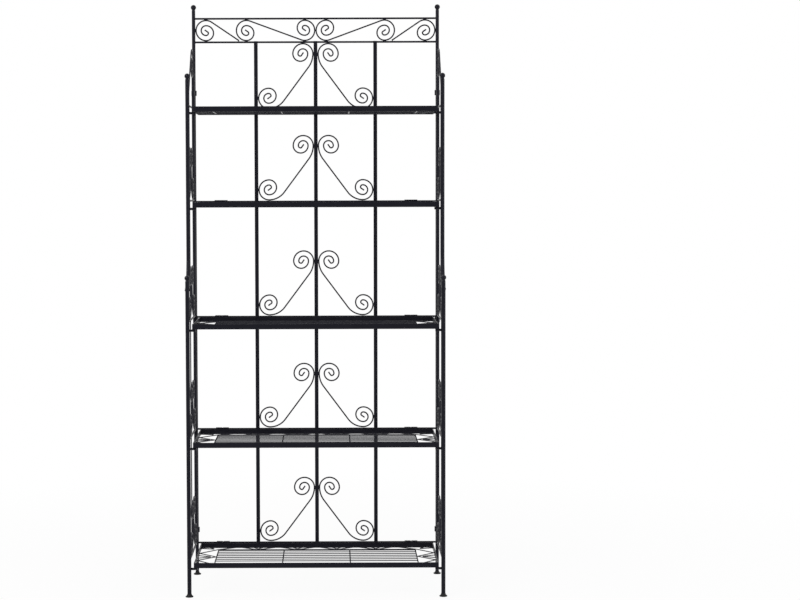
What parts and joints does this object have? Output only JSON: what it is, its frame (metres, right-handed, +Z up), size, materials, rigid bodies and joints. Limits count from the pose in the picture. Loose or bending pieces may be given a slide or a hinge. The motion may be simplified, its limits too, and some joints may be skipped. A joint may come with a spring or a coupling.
{
  "type": "folding bakers rack",
  "caption": "Tall open metal rack with hinged side panels, tip-up wire shelves in tray frames, curled wire scrolls, ball finials and flared feet.",
  "frame": {"origin": "on the floor, midway between the four feet", "axes": "+Z up, the front with the shelves' front bars faces -Y, +X to the right seen from the front"},
  "size_m": [0.8, 0.37, 1.83],
  "materials": {
    "black_metal": "satin black powder coat",
    "foot_plastic": "moulded black plastic"
  },
  "bodies": {
    "back_panel": {"back_bar_left": "black_metal", "back_bar_middle": "black_metal", "back_bar_right": "black_metal", "back_feet": "foot_plastic", "back_finials": "black_metal", "back_post_left": "black_metal", "back_post_right": "black_metal", "back_scrolls_1": "black_metal", "back_scrolls_2": "black_metal", "back_scrolls_3": "black_metal", "back_scrolls_4": "black_metal", "back_scrolls_5": "black_metal", "frieze_rails": "black_metal", "frieze_scrolls": "black_metal", "panel_hinge_straps": "black_metal", "shelf_rail_1": "black_metal", "shelf_rail_2": "black_metal", "shelf_rail_3": "black_metal", "shelf_rail_4": "black_metal", "shelf_rail_5": "black_metal"},
    "side_panel_left": {"side_left_finials": "black_metal", "side_left_foot": "foot_plastic", "side_left_knuckles": "black_metal", "side_left_lower_post": "black_metal", "side_left_middle_bar": "black_metal", "side_left_pegs": "black_metal", "side_left_rails": "black_metal", "side_left_rear_post": "black_metal", "side_left_scrolls": "black_metal", "side_left_upper_post": "black_metal"},
    "side_panel_right": {"side_right_finials": "black_metal", "side_right_foot": "foot_plastic", "side_right_knuckles": "black_metal", "side_right_lower_post": "black_metal", "side_right_middle_bar": "black_metal", "side_right_pegs": "black_metal", "side_right_rails": "black_metal", "side_right_rear_post": "black_metal", "side_right_scrolls": "black_metal", "side_right_upper_post": "black_metal"},
    "shelf_1": {"shelf_1_border": "black_metal", "shelf_1_deck": "black_metal", "shelf_1_frame": "black_metal", "shelf_1_straps": "black_metal"},
    "shelf_2": {"shelf_2_border": "black_metal", "shelf_2_deck": "black_metal", "shelf_2_frame": "black_metal", "shelf_2_straps": "black_metal"},
    "shelf_3": {"shelf_3_border": "black_metal", "shelf_3_deck": "black_metal", "shelf_3_frame": "black_metal", "shelf_3_straps": "black_metal"},
    "shelf_4": {"shelf_4_border": "black_metal", "shelf_4_deck": "black_metal", "shelf_4_frame": "black_metal", "shelf_4_straps": "black_metal"},
    "shelf_5": {"shelf_5_border": "black_metal", "shelf_5_deck": "black_metal", "shelf_5_frame": "black_metal", "shelf_5_straps": "black_metal"}
  },
  "joints": [
    {"name": "shelf_1_hinge", "type": "hinge", "parent": "back_panel", "child": "shelf_1", "pos_m": [0, 0.1638, 1.496], "axis": [-1, 0, 0], "range_deg": [0, 90]},
    {"name": "shelf_2_hinge", "type": "hinge", "parent": "back_panel", "child": "shelf_2", "pos_m": [0, 0.1638, 1.2045], "axis": [-1, 0, 0], "range_deg": [0, 72]},
    {"name": "shelf_3_hinge", "type": "hinge", "parent": "back_panel", "child": "shelf_3", "pos_m": [0, 0.1638, 0.836], "axis": [-1, 0, 0], "range_deg": [0, 90]},
    {"name": "shelf_4_hinge", "type": "hinge", "parent": "back_panel", "child": "shelf_4", "pos_m": [0, 0.1638, 0.4745], "axis": [-1, 0, 0], "range_deg": [0, 90]},
    {"name": "shelf_5_hinge", "type": "hinge", "parent": "back_panel", "child": "shelf_5", "pos_m": [0, 0.1638, 0.1055], "axis": [-1, 0, 0], "range_deg": [0, 90]},
    {"name": "side_left_hinge", "type": "hinge", "parent": "back_panel", "child": "side_panel_left", "pos_m": [-0.388, 0.1405, 0.8], "axis": [0, 0, -1], "range_deg": [0, 90]},
    {"name": "side_right_hinge", "type": "hinge", "parent": "back_panel", "child": "side_panel_right", "pos_m": [0.388, 0.1405, 0.8], "axis": [0, 0, 1], "range_deg": [0, 90]}
  ]
}
